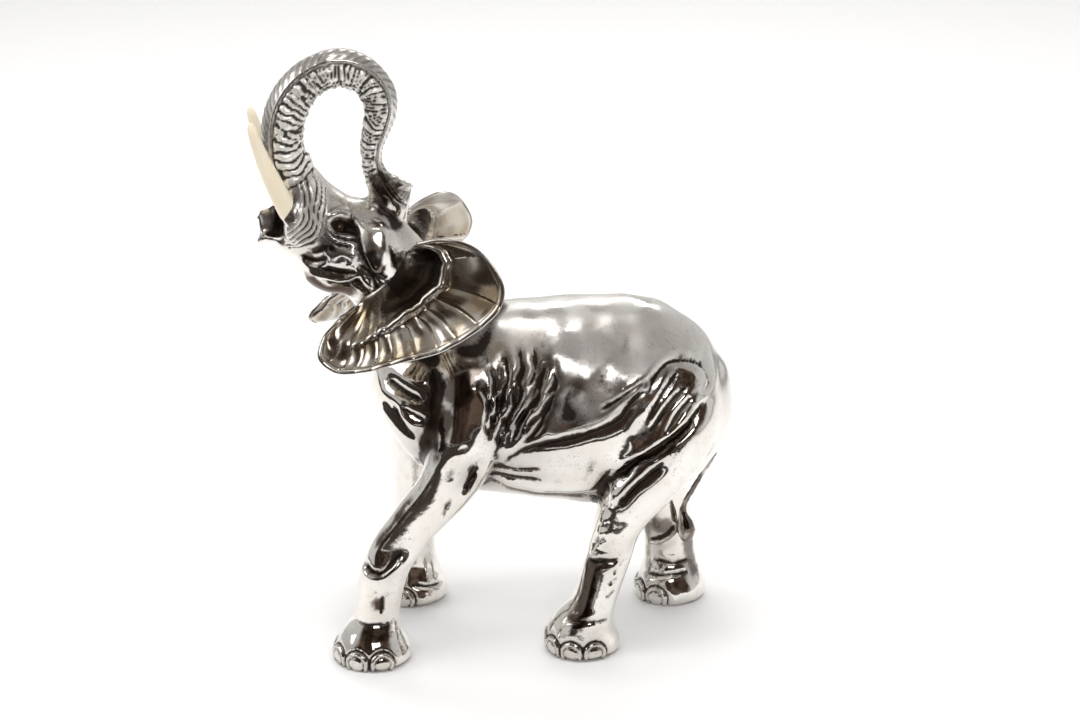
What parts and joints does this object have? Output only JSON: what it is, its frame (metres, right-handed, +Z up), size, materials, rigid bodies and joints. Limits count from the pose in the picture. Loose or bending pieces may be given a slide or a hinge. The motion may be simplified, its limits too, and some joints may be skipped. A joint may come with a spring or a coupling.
{
  "type": "elephant sculpture",
  "caption": "Tabletop walking elephant sculpture in polished silver finish with raised curled trunk and pale tusks, standing on its own feet.",
  "frame": {"origin": "middle of the underside, on the surface the four feet stand on", "axes": "+Z up, -X the way the head points, -Y the animal's left side"},
  "size_m": [0.2402, 0.1216, 0.3063],
  "materials": {
    "silver": "polished silver laminate with dark patina in the folds",
    "ivory": "satin ivory-coloured resin"
  },
  "bodies": {
    "root": {"elephant_body": "silver", "tusk_left": "ivory", "tusk_right": "ivory"}
  },
  "joints": []
}
